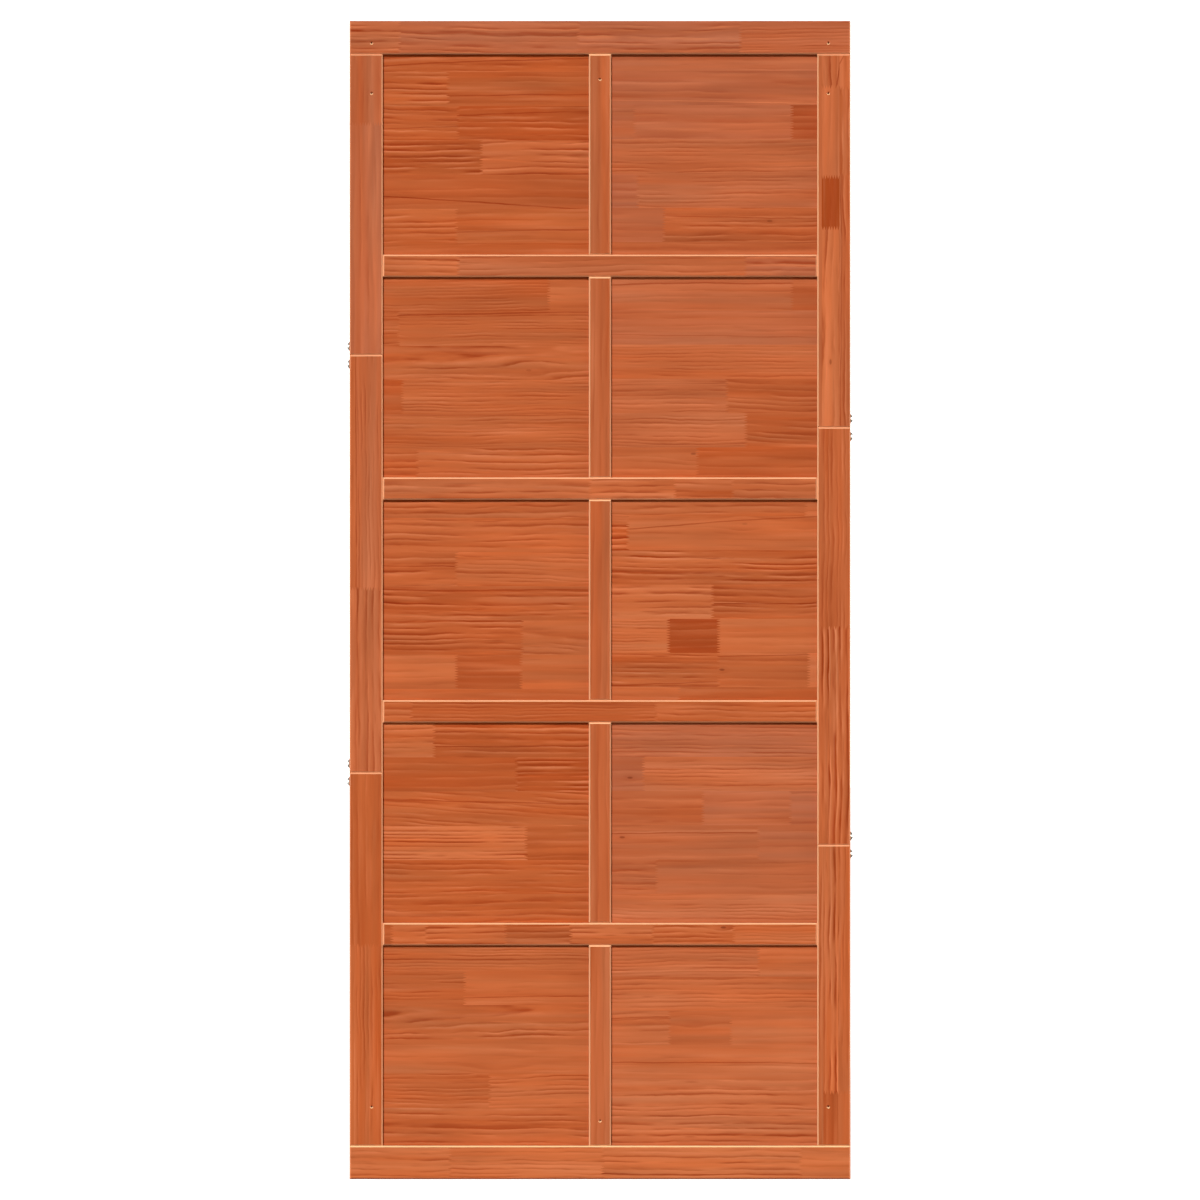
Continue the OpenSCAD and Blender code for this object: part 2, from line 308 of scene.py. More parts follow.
class Stave:
    """One length of one lamination, with what its wood looks like."""

    def __init__(self, row, end, figure_name, tone, pink, rng, line=NO_LINE):
        """A row is the v of the two sides, an end is a u, and a line is as resin_line gives it."""
        figure = dict(zip(FIGURE_KEYS, FIGURES[figure_name]))

        def own(key):
            return figure[key] * rng.uniform(*SHARES[key])

        self.row = row
        self.end = end
        self.knot_depth = 0.0
        pith_v = (row[0] + row[1]) / 2 - own("aside_mm") * MM
        contrast = own("contrast")
        behind, spacing = own("behind_mm") * MM, own("spacing_mm") * MM
        slope = rng.choice((-1, 1)) * own("slope")
        lean = own("lean") + rng.uniform(-LEAN_SPREAD, LEAN_SPREAD)
        self.values = {
            "stave_look": (tone, pink, contrast),
            "stave_rings": (pith_v, behind, spacing),
            "stave_run": (slope, lean, figure["wander"]),
            "stave_line": line,
            "stave_knot": NO_KNOT,
        }
        self.seed = rng.random()


def resin_line(board, near_mm, far_mm, across_mm):
    """A stave's line, as its v where u is 0, its slope and its strength, from its row in the tables."""
    near_across, far_across, strength = across_mm
    slope = (far_across - near_across) / (far_mm - near_mm)
    at_start = board.start_v + near_across * MM
    return (at_start - slope * (board.start_u + near_mm * MM), slope, strength)


def staves_of_row(board, row, staves, pink, rng):
    """The staves of one row of the tables."""
    made = []
    near_mm = 0
    for end_mm, figure, tone, *more in staves:
        own_pink = next((m for m in more if isinstance(m, float)), pink)
        across_mm = next((m for m in more if isinstance(m, tuple)), NO_LINE)
        line = resin_line(board, near_mm, min(end_mm, board.length_mm), across_mm)
        made.append(Stave(row, board.start_u + end_mm * MM, figure, tone, own_pink, rng, line))
        near_mm = end_mm
    return made


def rows_of_staves(board, far_sides, rows, pink):
    """The rows of a board in the order of v, each from where the last one ended to its own far side."""
    rng = random.Random(board.node)
    layout = []
    near = board.v0
    for far, staves in zip(far_sides, rows):
        layout.append(staves_of_row(board, (near, far), staves, pink, rng))
        near = far
    return layout


def panel_layout(board):
    """The rows of staves of a panel, from its upper edge down."""
    first_mm, pink, rows = PANEL_STAVES[board.node]
    joints = [board.start_v + (first_mm + i * STAVE_PITCH_MM) * MM for i in range(len(rows) - 1)]
    return rows_of_staves(board, [*joints, board.v1], rows, pink)


def frame_layout(board):
    """The laminations of a rail or stile."""
    pink, laminations = FRAME_STAVES[board.node]
    far_sides = [min(board.v0 + across_mm * MM, board.v1) for across_mm, _ in laminations]
    return rows_of_staves(board, far_sides, [staves for _, staves in laminations], pink)


def mullion_layout(board):
    """A mullion is a single plain piece."""
    rng = random.Random(board.node)
    tone = rng.uniform(*MULLION_TONES)
    return [[Stave((board.v0, board.v1), board.u1, "plain", tone, MULLION_PINK, rng)]]


def layout_of(board):
    """The staves of a board, row by row, with each knot given to the stave that it is in."""
    if board.node in PANEL_STAVES:
        layout = panel_layout(board)
    elif board.node in FRAME_STAVES:
        layout = frame_layout(board)
    else:
        layout = mullion_layout(board)
    for right_mm, down_mm, size_mm, depth in KNOTS_MM.get(board.node, ()):
        u, v = board.place(right_mm, down_mm)
        stave = stave_at(layout, u, v)
        stave.values["stave_knot"] = (u, v, size_mm * MM)
        stave.knot_depth = depth
    return layout


# Cutting the staves into a copy of the CAD solid

MERGE_DISTANCE = 1e-6
CUT_DISTANCE = 1e-7
# The flank of a finger is measured this far inside its corners
FLANK_INSET = 1e-9


def finger_edge(joint, v):
    """Where a finger joint lies along the grain, at v across it: a row of pointed fingers."""
    at = (v / FINGER_PITCH) % 1
    return joint + FINGER_LENGTH * (abs(2 * at - 1) - 0.5)


def stave_at(layout, u, v):
    """The stave that holds this point, or is nearest to it across the grain."""
    row = min(layout, key=lambda staves: max(staves[0].row[0] - v, v - staves[0].row[1]))
    for stave in row[:-1]:
        if u < finger_edge(stave.end, v):
            return stave
    return row[-1]


def cut(bm, faces, point, normal):
    """Cuts these faces along a plane."""
    edges = {e for f in faces for e in f.edges}
    verts = {v for f in faces for v in f.verts}
    bmesh.ops.bisect_plane(
        bm, geom=[*verts, *edges, *faces], dist=CUT_DISTANCE, plane_co=point, plane_no=normal
    )


def faces_within(bm, board, u_range, v_range):
    """The faces whose middle lies between these limits along and across the grain."""
    found = []
    for f in bm.faces:
        c = f.calc_center_median()
        u, v = c.dot(board.u_axis), c.dot(board.v_axis)
        if u_range[0] < u < u_range[1] and v_range[0] < v < v_range[1]:
            found.append(f)
    return found


def cut_finger_joint(bm, board, joint, row):
    """Cuts one lamination along the zigzag of a finger joint."""
    reach = FINGER_LENGTH / 2
    zone = (joint - reach, joint + reach)
    for at in zone:
        cut(bm, faces_within(bm, board, (board.u0, board.u1), row), board.u_axis * at, board.u_axis)
    flank = FINGER_PITCH / 2
    first, last = math.floor(row[0] / flank), math.ceil(row[1] / flank)
    for k in range(first + 1, last):
        cut(bm, faces_within(bm, board, zone, row), board.v_axis * (k * flank), board.v_axis)
    for k in range(first, last):
        near, far = k * flank, (k + 1) * flank
        cell = (max(near, row[0]), min(far, row[1]))
        u_near = finger_edge(joint, near + FLANK_INSET)
        u_far = finger_edge(joint, far - FLANK_INSET)
        along = (board.v_axis * (far - near) + board.u_axis * (u_far - u_near)).normalized()
        normal = along.cross(Vector((0, 1, 0)))
        point = board.v_axis * near + board.u_axis * u_near
        cut(bm, faces_within(bm, board, zone, cell), point, normal)


# Worn arrises and countersinks, with painted highlights

# How pale an arris is, from 0 for stained wood to 1 for worn and 2 for bare wood, as wear together with a
# painted highlight: arrises that face up or left, towards the key light, are painted paler than those that
# face down or right. One that faces up takes the first of these whose word is in its timber's name
ARRIS_UP = {
    "bottom_rail": 1.8,
    "cross_rail_4": 1.08,
    "cross_rail_1": 0.8,
    "stile_upper": 0.55,
    "stile": 0.7,
    "mullion": 1.2,
}
ARRIS_UP_ELSEWHERE = 0.92
ARRIS_DOWN, ARRIS_LEFT, ARRIS_RIGHT, ARRIS_OUTER = 0.45, 0.84, 0.62, 0.3
# Countersinks: their painted highlight, and how much it grows with the share by which a face turns up, so
# that the lower rim is painted lit
COUNTERSINK_HIGHLIGHT = 0.6
COUNTERSINK_HIGHLIGHT_UP = 1.6
# Arrises lie within this of a side or an end of their timber, tongues counted, and countersinks don't
EDGE_MARGIN = 12 * MM
# A chamfer or countersink faces front or back by a share between these
SLANT = (0.5, 0.9)
MOSTLY_UP_OR_DOWN = 0.5


def arris_wear(board, normal, centre):
    """How pale a face is, as wear and painted highlight, by the way it faces and the timber that it is on.
    """
    if not SLANT[0] < abs(normal.y) < SLANT[1]:
        return 0.0
    u, v = centre.dot(board.u_axis), centre.dot(board.v_axis)
    if min(u - board.u0, board.u1 - u, v - board.v0, board.v1 - v) > EDGE_MARGIN:
        # A countersink face is painted paler the more it turns up: a painted highlight on its lower rim
        return max(0.0, COUNTERSINK_HIGHLIGHT + normal.z * COUNTERSINK_HIGHLIGHT_UP)
    # Besides wear, this paints highlight by the way the arris faces: up and left paler than down and right
    if abs(normal.z) > MOSTLY_UP_OR_DOWN:
        if centre.z > DOOR_TOP - EDGE_MARGIN or centre.z < DOOR_BOTTOM + EDGE_MARGIN:
            return 0.0
        if normal.z < 0:
            return ARRIS_DOWN
        return next((wear for word, wear in ARRIS_UP.items() if word in board.node), ARRIS_UP_ELSEWHERE)
    if centre.x < DOOR_LEFT + EDGE_MARGIN or centre.x > DOOR_RIGHT - EDGE_MARGIN:
        return ARRIS_OUTER
    return ARRIS_LEFT if normal.x < 0 else ARRIS_RIGHT


def wood_piece(board, layout, material):
    """The timber as shown: its CAD solid with the staves cut in, and each face told its stave's look."""
    bm = bmesh.new()
    bm.from_mesh(frame["nodes"][board.node].data)
    bmesh.ops.remove_doubles(bm, verts=bm.verts, dist=MERGE_DISTANCE)
    for staves in layout[1:]:
        cut(bm, list(bm.faces), board.v_axis * staves[0].row[0], board.v_axis)
    for staves in layout:
        for stave in staves[:-1]:
            cut_finger_joint(bm, board, stave.end, stave.row)
    bm.normal_update()
    names = ("stave_look", "stave_rings", "stave_run", "stave_line", "stave_knot", "stave_own")
    layers = {name: bm.faces.layers.float_vector.new(name) for name in names}
    for f in bm.faces:
        f.smooth = False
        c = f.calc_center_median()
        stave = stave_at(layout, c.dot(board.u_axis), c.dot(board.v_axis))
        for name, value in stave.values.items():
            f[layers[name]] = value
        f[layers["stave_own"]] = (stave.seed, arris_wear(board, f.normal, c), stave.knot_depth)
    mesh = bpy.data.meshes.new(board.node + "_staves")
    bm.to_mesh(mesh)
    bm.free()
    mesh.materials.append(material)
    piece = bpy.data.objects.new(board.node + "_staves", mesh)
    bpy.context.scene.collection.objects.link(piece)
    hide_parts(board.node)
    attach(piece, "root")


# Colours

def linear(red, green, blue):
    """An sRGB colour in 0 to 255 as linear RGBA."""
    def one(c):
        c /= 255
        return c / 12.92 if c <= 0.04045 else ((c + 0.055) / 1.055) ** 2.4
    return (one(red), one(green), one(blue), 1.0)


MID_WOOD = linear(191, 94, 47)
EARLY_WOOD = linear(215, 121, 76)
LATE_WOOD = linear(150, 50, 8)
LIGHT_STAVE = linear(210, 113, 65)
DARK_STAVE = linear(170, 70, 24)
PINK_STAVE = linear(182, 102, 70)
KNOT_CORE = linear(118, 46, 18)
# Pale colours of worn and bare arrises, which also carry their painted highlights
WORN_AND_LIT_ARRIS = linear(255, 188, 140)
BARE_AND_LIT_ARRIS = linear(255, 212, 154)
STEEL_COLOURS = (linear(218, 215, 208), linear(238, 236, 230))


class Tree:
    """Builds the node tree of one material."""

    def __init__(self, name):
        self.material = bpy.data.materials.new(name)
        self.material.use_nodes = True
        self.nodes = self.material.node_tree.nodes
        self.links = self.material.node_tree.links
        self.shader = self.nodes["Principled BSDF"]

    def feed(self, socket, value):
        """Links a socket to another, or sets it to a plain value."""
        if isinstance(value, bpy.types.NodeSocket):
            self.links.new(value, socket)
        else:
            socket.default_value = value

    def node(self, kind, inputs=None, **settings):
        """A new node with these settings, and with its inputs fed by name or by number."""
        made = self.nodes.new(kind)
        for key, value in settings.items():
            setattr(made, key, value)
        for key, value in (inputs or {}).items():
            self.feed(made.inputs[key], value)
        return made

    def math(self, operation, *values):
        """One step of arithmetic."""
        return self.node("ShaderNodeMath", dict(enumerate(values)), operation=operation).outputs[0]

    def total(self, *values):
        """The sum of two or more values."""
        result = values[0]
        for value in values[1:]:
            result = self.math("ADD", result, value)
        return result

    def times(self, *values):
        """The product of two or more values."""
        result = values[0]
        for value in values[1:]:
            result = self.math("MULTIPLY", result, value)
        return result

    def vector(self, x, y, z):
        """One vector, or colour, of three values."""
        return self.node("ShaderNodeCombineXYZ", {0: x, 1: y, 2: z}).outputs[0]

    def noise(self, vector, scale=1.0, detail=2.0, roughness=0.5):
        """Noise from about -1 to 1."""
        made = self.node(
            "ShaderNodeTexNoise",
            {"Vector": vector, "Scale": scale, "Detail": detail, "Roughness": roughness},
        )
        return self.math("MULTIPLY_ADD", made.outputs["Fac"], 4.0, -2.0)

    def ramp(self, value, low, high, to_low=0.0, to_high=1.0, kind="SMOOTHSTEP"):
        """Maps low to to_low and high to to_high, and holds these beyond."""
        made = self.node(
            "ShaderNodeMapRange",
            {"Value": value, "From Min": low, "From Max": high, "To Min": to_low, "To Max": to_high},
            interpolation_type=kind,
        )
        return made.outputs["Result"]

    def mix(self, factor, a, b, blend="MIX"):
        """Goes from colour a to colour b by this factor."""
        made = self.node("ShaderNodeMix", data_type="RGBA", blend_type=blend)
        self.feed(made.inputs["Factor"], factor)
        self.feed(made.inputs["A"], a)
        self.feed(made.inputs["B"], b)
        return made.outputs["Result"]

    def parts(self, vector):
        """The three values of a vector."""
        return self.node("ShaderNodeSeparateXYZ", {0: vector}).outputs

    def attribute(self, name):
        """The three numbers that a face carries under this name."""
        return self.parts(self.node("ShaderNodeAttribute", attribute_name=name).outputs["Vector"])


# Stained pine

# The ramps here are given as for Tree.ramp: where one starts and ends, and then what it goes from and to,
# where that isn't from 0 to 1

# Noise drawn out along the grain: waves a metre along and across it, detail, roughness and an offset
GRAINS = {
    "long_swing": (3.5, 5.0, 2.0, 0.5, 0.0),
    "middle_swing": (12.0, 34.0, 2.0, 0.5, 7.0),
    "short_swing": (40.0, 150.0, 2.0, 0.5, 9.0),
    "fade": (11.0, 60.0, 2.0, 0.5, 3.0),
    "fibre": (9.0, 420.0, 3.0, 0.6, 0.0),
    "streak": (3.5, 60.0, 2.0, 0.5, 1.0),
    "dash": (15.0, 210.0, 1.0, 0.5, 2.0),
    "cloud": (6.0, 15.0, 2.0, 0.5, 5.0),
    "band": (1.8, 40.0, 2.0, 0.5, 8.0),
    "tint": (2.0, 45.0, 2.0, 0.5, 10.0),
    "ridge": (15.0, 115.0, 1.0, 0.5, 4.0),
    "line_break": (9.0, 9.0, 2.0, 0.5, 6.0),
}
# How far each swing moves the grain across
SWINGS_MM = {"long_swing": 5.5, "middle_swing": 2.1, "short_swing": 0.7}
# How far apart in the noise two staves can be
SEED_SPREAD = 53.0

# Rings: how uneven their spacing is, at how many waves a metre, and the strengths that single rings have
RING_UNEVENNESS, RING_WAVES = 0.32, 60.0
RING_FORCES = (0.5, 1.2)
# Where rings fade along the grain, as a ramp from the noise to their strength
RING_FADE = (-0.6, 0.5, 0.06, 1.35)
# A ring runs from 0 to 1. Each ramp goes from no late or early wood to all of it
LATE_COMES, LATE_GOES = (0.42, 0.92), (1.0, 0.93)
EARLY_COMES, EARLY_GOES = (0.0, 0.07), (0.50, 0.08)

# A knot reaches across the grain by this share of its reach along it
KNOT_STRETCH = 0.4
KNOT_CORE_EDGES = (2.6 * MM, 1.2 * MM)
KNOT_RING_EDGES = (1.0, 0.3)
# Keeps the reach of a knot finite in a stave that has none
LEAST_KNOT = 0.01 * MM

# A resin line fades out to its edges, breaks up along its length and takes a share of the grain's swing
LINE_EDGES = (1.7 * MM, 0.3 * MM)
LINE_BREAK = (-1.0, 0.3, 0.35, 1.0)
LINE_SWING = 0.5

# Painted shade and highlight of fine raised lines: how far across their other flank lies, their force,
# where they rise, and the share that they have in staves with faint and with strong rings
RIDGE_STEP = 1.4 * MM
RIDGE_FORCE = 2.0
RIDGE_RISE = (-0.1, 0.8)
RIDGE_BY_CONTRAST = (0.1, 1.2, 0.3, 1.1)

# Pale streaks and dark dashes, as ramps from the noise, and the dashes' share by the strength of the rings
STREAK = (0.15, 1.3, 0.0, 0.5)
DASH = (0.75, 1.3)
DASH_BY_CONTRAST = (0.1, 1.0, 0.15, 0.45)

# How far the wood goes to the colour of each of these, at most
PINK_SHARE = 0.7
RING_SHARE = 0.66
LINE_SHARE = 0.75
KNOT_RING_SHARE = 0.2
# How much lighter or darker each of these makes the wood; the last is the painted shade and highlight of
# the fine raised lines
FIBRE_SHADE, CLOUD_SHADE, BAND_SHADE, PAINTED_RELIEF_SHADE = 0.025, 0.075, 0.15, -0.12
# How much the tint changes red, green and blue
TINT_SHARES = (0.03, 0.17, 0.33)

PINE_ROUGHNESS, FIBRE_ROUGHNESS = 0.5, 0.06
PINE_SPECULAR = 0.05
# What stands up and what lies low, as shares of the height of the bump
LATE_HEIGHT, FIBRE_HEIGHT, LINE_HEIGHT = -0.6, 0.15, -0.6
PINE_BUMP = {"Strength": 0.3, "Distance": 0.4 * MM}


class Pine(Tree):
    """Stained pine with its grain along X or Z, from the look that each face carries."""

    def __init__(self, name, upright):
        super().__init__(name)
        x, self.depth, z = self.parts(self.node("ShaderNodeTexCoord").outputs["Object"])
        down = self.math("MULTIPLY", z, -1.0)
        self.along, self.across = (down, x) if upright else (x, down)
        self.tone, self.pink, self.contrast = self.attribute("stave_look")
        # The face's wear and painted highlight come with its stave's seed and knot
        seed, self.wear, self.knot_depth = self.attribute("stave_own")
        self.shift = self.times(seed, SEED_SPREAD)
        self.swing = self.total(
            *(self.times(self.grain(kind), reach_mm * MM) for kind, reach_mm in SWINGS_MM.items())
        )
        parted = self.draw_knot()
        self.draw_rings(parted)
        self.draw_resin_line()
        self.fibre = self.grain("fibre")
        self.feed(self.shader.inputs["Base Color"], self.worn_and_highlighted(self.shaded(self.figured(self.stained()))))
        self.set_surface()

    def grain(self, kind, step=0.0):
        """Noise of this kind, its own in each stave, as it is this far further across the grain."""
        along_waves, across_waves, detail, roughness, offset = GRAINS[kind]
        place = self.vector(
            self.times(self.along, along_waves),
            self.math("MULTIPLY_ADD", self.across, across_waves, step * across_waves),
            self.math("ADD", self.shift, offset),
        )
        return self.noise(place, 1.0, detail, roughness)

    def draw_knot(self):
        """The knot that some staves have. Gives back how far the grain is parted round it."""
        knot_u, knot_v, size = self.attribute("stave_knot")
        beside = self.math("SUBTRACT", self.across, knot_v)
        past = self.times(self.math("SUBTRACT", self.along, knot_u), KNOT_STRETCH)
        distance = self.math("SQRT", self.total(self.times(beside, beside), self.times(past, past)))
        reach = self.math("DIVIDE", distance, self.total(size, LEAST_KNOT))
        self.knot_core = self.times(self.ramp(self.times(reach, size), *KNOT_CORE_EDGES), self.knot_depth)
        self.knot_ring = self.times(self.ramp(reach, *KNOT_RING_EDGES), self.knot_depth)
        return self.times(beside, self.math("EXPONENT", self.times(reach, reach, -1.0)), -1.0)

    def draw_rings(self, parted):
        """Growth rings, from the distance to a pith that leans and wanders along the grain."""
        pith_v, pith_w, spacing = self.attribute("stave_rings")
        slope, lean, wander = self.attribute("stave_run")
        v = self.total(
            self.math("SUBTRACT", self.across, pith_v),
            self.times(lean, self.along),
            self.times(self.swing, wander),
            parted,
        )
        w = self.total(self.depth, pith_w, self.times(self.along, slope))
        radius = self.math("SQRT", self.total(self.times(v, v), self.times(w, w)))
        uneven = self.noise(self.vector(self.times(radius, RING_WAVES), self.shift, 0.0), 1.0, 1.0)
        rings = self.total(self.math("DIVIDE", radius, spacing), self.times(uneven, RING_UNEVENNESS))
        phase = self.math("FRACT", rings)
        one_ring = {"W": self.math("FLOOR", rings)}
        own = self.node("ShaderNodeTexWhiteNoise", one_ring, noise_dimensions="1D").outputs["Value"]
        own_force = self.ramp(own, 0.0, 1.0, *RING_FORCES)
        force = self.times(self.contrast, own_force, self.ramp(self.grain("fade"), *RING_FADE))
        self.late = self.times(self.ramp(phase, *LATE_COMES), self.ramp(phase, *LATE_GOES), force)
        self.early = self.times(self.ramp(phase, *EARLY_COMES), self.ramp(phase, *EARLY_GOES), force)

    def draw_resin_line(self):
        """The one resin line that some staves have, which is dark, or pale where its force is below 0."""
        line_v, line_slope, force = self.attribute("stave_line")
        off_line = self.total(
            self.across,
            self.times(line_v, -1.0),
            self.times(line_slope, self.along, -1.0),
            self.times(self.swing, LINE_SWING),
        )
        line = self.times(
            self.ramp(self.math("ABSOLUTE", off_line), *LINE_EDGES),
            self.ramp(self.grain("line_break"), *LINE_BREAK),
        )
        self.dark_line = self.times(line, self.math("MAXIMUM", force, 0.0))
        self.pale_line = self.times(line, self.math("MAXIMUM", self.times(force, -1.0), 0.0))

    def painted_relief(self):
        """Painted shade and highlight of fine raised lines: dark above and pale below, as light from above
        would show them.
        """
        ridge = self.grain("ridge")
        lift = self.math("SUBTRACT", self.grain("ridge", RIDGE_STEP), ridge)
        by_contrast = self.ramp(self.contrast, *RIDGE_BY_CONTRAST)
        return self.times(lift, RIDGE_FORCE, self.ramp(ridge, *RIDGE_RISE), by_contrast)

    def stained(self):
        """The stain of the stave as a whole."""
        colour = self.mix(self.ramp(self.tone, 0.0, 1.0, kind="LINEAR"), MID_WOOD, LIGHT_STAVE)
        colour = self.mix(self.ramp(self.tone, 0.0, -1.0, kind="LINEAR"), colour, DARK_STAVE)
        return self.mix(self.times(self.pink, PINK_SHARE), colour, PINK_STAVE)

    def figured(self, colour):
        """This colour with the rings, streaks, dashes, resin line and knot over it."""
        colour = self.mix(self.times(self.early, RING_SHARE), colour, EARLY_WOOD)
        colour = self.mix(self.times(self.late, RING_SHARE), colour, LATE_WOOD)
        colour = self.mix(self.ramp(self.grain("streak"), *STREAK), colour, EARLY_WOOD)
        dash = self.times(self.ramp(self.grain("dash"), *DASH), self.ramp(self.contrast, *DASH_BY_CONTRAST))
        colour = self.mix(dash, colour, LATE_WOOD)
        colour = self.mix(self.times(self.dark_line, LINE_SHARE), colour, LATE_WOOD)
        colour = self.mix(self.times(self.pale_line, LINE_SHARE), colour, EARLY_WOOD)
        colour = self.mix(self.times(self.knot_ring, KNOT_RING_SHARE), colour, LATE_WOOD)
        return self.mix(self.knot_core, colour, KNOT_CORE)

    def shaded(self, colour):
        """This colour, lighter or darker and with more or less red from place to place, with the painted
        shade and highlight of the fine raised lines.
        """
        shade = self.total(
            1.0,
            self.times(self.fibre, FIBRE_SHADE),
            self.times(self.grain("cloud"), CLOUD_SHADE),
            self.times(self.grain("band"), BAND_SHADE),
            # painted shade above and painted highlight below the fine raised lines
            self.times(self.painted_relief(), PAINTED_RELIEF_SHADE),
        )
        tint = self.grain("tint")
        shades = [self.times(shade, self.total(1.0, self.times(tint, share))) for share in TINT_SHARES]
        return self.mix(1.0, colour, self.vector(*shades), "MULTIPLY")

    def worn_and_highlighted(self, colour):
        """This colour, paler where the face is worn and where an arris or countersink has a painted
        highlight.
        """
        colour = self.mix(self.wear, colour, WORN_AND_LIT_ARRIS)
        return self.mix(self.ramp(self.wear, 1.0, 2.0, kind="LINEAR"), colour, BARE_AND_LIT_ARRIS)

    def set_surface(self):
        """The satin surface and its finest relief."""
        roughness = self.total(PINE_ROUGHNESS, self.times(self.fibre, FIBRE_ROUGHNESS))
        self.feed(self.shader.inputs["Roughness"], roughness)
        self.shader.inputs["Specular IOR Level"].default_value = PINE_SPECULAR
        height = self.total(
            self.times(self.late, LATE_HEIGHT),
            self.times(self.fibre, FIBRE_HEIGHT),
            self.times(self.dark_line, LINE_HEIGHT),
        )
        bump = self.node("ShaderNodeBump", {"Height": height, **PINE_BUMP})
        self.feed(self.shader.inputs["Normal"], bump.outputs["Normal"])


# Steel

# Waves a metre of the dull marks and of the fine ones that the bump shows
DULL_WAVES, FINE_WAVES = 900.0, 2500.0
STEEL_ROUGHNESS = (0.2, 0.36)
STEEL_METALLIC = 0.75
STEEL_BUMP = {"Strength": 0.1, "Distance": 0.1 * MM}


def bright_steel(name):
    """Zinc-bright steel with fine marks and a little dulling."""
    t = Tree(name)
    place = t.node("ShaderNodeTexCoord").outputs["Object"]
    dull = t.noise(place, DULL_WAVES, 3.0)
    t.feed(t.shader.inputs["Base Color"], t.mix(t.ramp(dull, -1.0, 1.0), *STEEL_COLOURS))
    t.feed(t.shader.inputs["Roughness"], t.ramp(dull, -1.0, 1.0, *STEEL_ROUGHNESS))
    t.shader.inputs["Metallic"].default_value = STEEL_METALLIC
    bump = t.node("ShaderNodeBump", {"Height": t.noise(place, FINE_WAVES), **STEEL_BUMP})
    t.feed(t.shader.inputs["Normal"], bump.outputs["Normal"])
    return t.material


# Dressing the door

UPRIGHT = {"panel_pine": False, "rail_pine": False, "stile_pine": True}
pines = {slot: Pine(slot, upright).material for slot, upright in UPRIGHT.items()}
steel = bright_steel("bright_steel")

for node in sorted(frame["nodes"]):
    slot = SLOTS[node]
    if slot in pines:
        board = Board(node, UPRIGHT[slot])
        wood_piece(board, layout_of(board), pines[slot])
    else:
        cad = frame["nodes"][node]
        cad.data.materials.clear()
        cad.data.materials.append(steel)


# Stage: a white floor and dome that only the camera sees, so that the lights alone light the door

STAGE_REACH = 32.0
FLOOR_GAP = 12 * MM
FLOOR_SEGMENTS = 64
DOME_SEGMENTS, DOME_RINGS = 64, 32
PAPER_GREY = 0.94
PAPER_ROUGHNESS = 0.9
PAPER_GLOW = 1.0


def stage_piece(name, bm, height, material):
    """A part of the stage that the camera sees, and that no light is blocked by or bounces off."""
    mesh = bpy.data.meshes.new(name)
    bm.to_mesh(mesh)
    bm.free()
    mesh.materials.append(material)
    piece = bpy.data.objects.new(name, mesh)
    piece.location.z = height
    bpy.context.scene.collection.objects.link(piece)
    piece.visible_diffuse = False
    piece.visible_glossy = False
    piece.visible_shadow = False


def white_paper():
    """Plain paper that glows white by itself."""
    t = Tree("white_paper")
    t.shader.inputs["Base Color"].default_value = (PAPER_GREY, PAPER_GREY, PAPER_GREY, 1.0)
    t.shader.inputs["Roughness"].default_value = PAPER_ROUGHNESS
    t.shader.inputs["Specular IOR Level"].default_value = 0.0
    t.shader.inputs["Emission Color"].default_value = (1.0, 1.0, 1.0, 1.0)
    t.shader.inputs["Emission Strength"].default_value = PAPER_GLOW
    return t.material


floor_z = DOOR_BOTTOM - FLOOR_GAP
paper = white_paper()
floor_disc = bmesh.new()
bmesh.ops.create_circle(floor_disc, cap_ends=True, radius=STAGE_REACH, segments=FLOOR_SEGMENTS)
stage_piece("floor", floor_disc, floor_z, paper)
dome = bmesh.new()
bmesh.ops.create_uvsphere(dome, u_segments=DOME_SEGMENTS, v_segments=DOME_RINGS, radius=STAGE_REACH)
stage_piece("dome", dome, floor_z, paper)


# Lights: a key from the front and above, a soft fill from the right and a soft one from behind each side

WHITE = (1.0, 1.0, 1.0)
KEY_TOWARDS = (0.25, 1.0, -0.56)
KEY_STRENGTH = 2.81
KEY_COLOUR = (0.97, 1.008, 1.07)
KEY_ANGLE = math.radians(7)
FILL_TOWARDS = (-1.0, 0.25, -0.1)
FILL_STRENGTH = 0.6
RIM_TOWARDS = [(0.94, -0.34, -0.05), (-0.94, -0.34, -0.05)]
RIM_STRENGTH = 2.2
SOFT_ANGLE = math.radians(20)


def face_along(obj, direction):
    """Turns a light or the camera to look this way."""
    obj.rotation_euler = Vector(direction).to_track_quat("-Z", "Y").to_euler()


def sun(name, towards, strength, angle, colour=WHITE):
    """A lamp so far off that its light all runs one way."""
    data = bpy.data.lights.new(name, "SUN")
    data.energy = strength
    data.angle = angle
    data.color = colour
    lamp = bpy.data.objects.new(name, data)
    bpy.context.scene.collection.objects.link(lamp)
    face_along(lamp, towards)


sun("key_light", KEY_TOWARDS, KEY_STRENGTH, KEY_ANGLE, KEY_COLOUR)
sun("fill_light", FILL_TOWARDS, FILL_STRENGTH, SOFT_ANGLE)
for number, towards in enumerate(RIM_TOWARDS):
    sun(f"rim_light_{number}", towards, RIM_STRENGTH, SOFT_ANGLE)


# World: dim above and below, with a strip light all round at the height of the eye

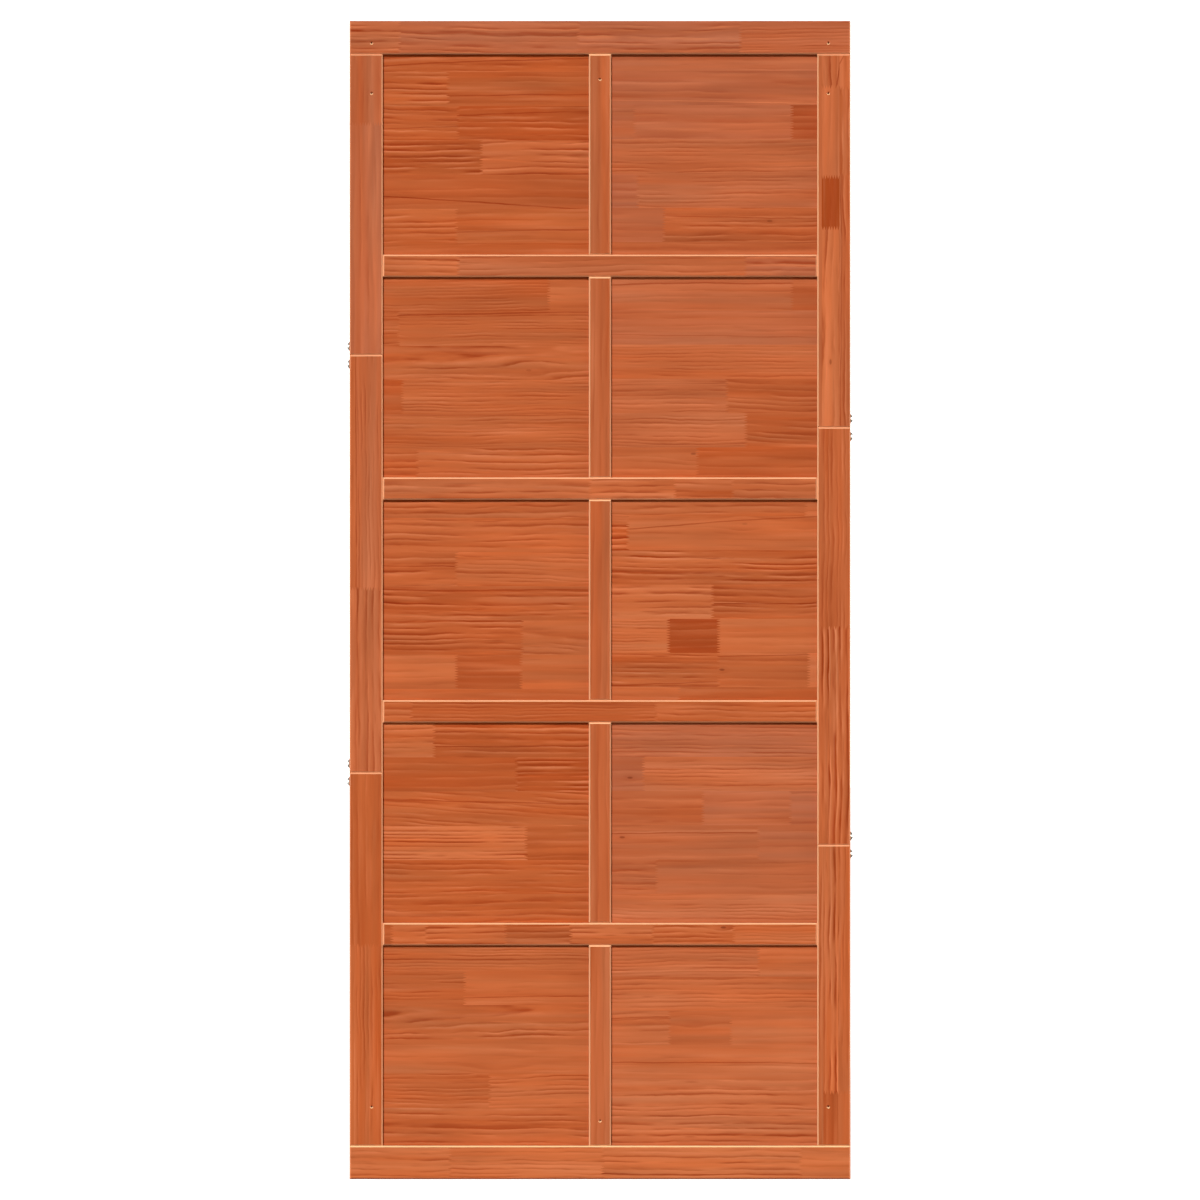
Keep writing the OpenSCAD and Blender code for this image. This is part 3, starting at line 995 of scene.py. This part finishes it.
SKY_STRENGTH = 0.08
STRIP_STRENGTH = 0.85
STRIP_EDGE, STRIP_CORE = math.sin(math.radians(11)), math.sin(math.radians(4))
AMBIENT_COLOUR = (1.0, 0.87, 0.62, 1.0)


def studio_world():
    """The world whose light comes from the strip."""
    world = bpy.data.worlds.new("studio")
    world.use_nodes = True
    nodes, links = world.node_tree.nodes, world.node_tree.links
    direction = nodes.new("ShaderNodeTexCoord")
    parts = nodes.new("ShaderNodeSeparateXYZ")
    links.new(direction.outputs["Generated"], parts.inputs[0])
    rise = nodes.new("ShaderNodeMath")
    rise.operation = "ABSOLUTE"
    links.new(parts.outputs["Z"], rise.inputs[0])
    glow = nodes.new("ShaderNodeMapRange")
    glow.interpolation_type = "SMOOTHSTEP"
    glow.inputs["From Min"].default_value = STRIP_EDGE
    glow.inputs["From Max"].default_value = STRIP_CORE
    glow.inputs["To Min"].default_value = SKY_STRENGTH
    glow.inputs["To Max"].default_value = STRIP_STRENGTH
    links.new(rise.outputs[0], glow.inputs["Value"])
    background = nodes["Background"]
    background.inputs["Color"].default_value = AMBIENT_COLOUR
    links.new(glow.outputs["Result"], background.inputs["Strength"])
    return world


bpy.context.scene.world = studio_world()

view = bpy.context.scene.view_settings
view.view_transform = "Standard"
view.look = "None"
view.exposure = 0.0


# Camera square on to the door, from far enough for straight edges

CAMERA_DISTANCE = 15.0
CAMERA_SIGHT = 60.0
SENSOR_WIDTH = 36.0
DOOR_SHARE_OF_FRAME = 1158.5 / 1200

camera_data = bpy.data.cameras.new("camera")
camera_data.sensor_width = SENSOR_WIDTH
camera_data.lens = SENSOR_WIDTH * CAMERA_DISTANCE * DOOR_SHARE_OF_FRAME / (DOOR_TOP - DOOR_BOTTOM)
camera_data.clip_end = CAMERA_SIGHT
camera = bpy.data.objects.new("camera", camera_data)
bpy.context.scene.collection.objects.link(camera)
camera.location = (0, FRONT - CAMERA_DISTANCE, (DOOR_TOP + DOOR_BOTTOM) / 2)
face_along(camera, (0, 1, 0))
bpy.context.scene.camera = camera
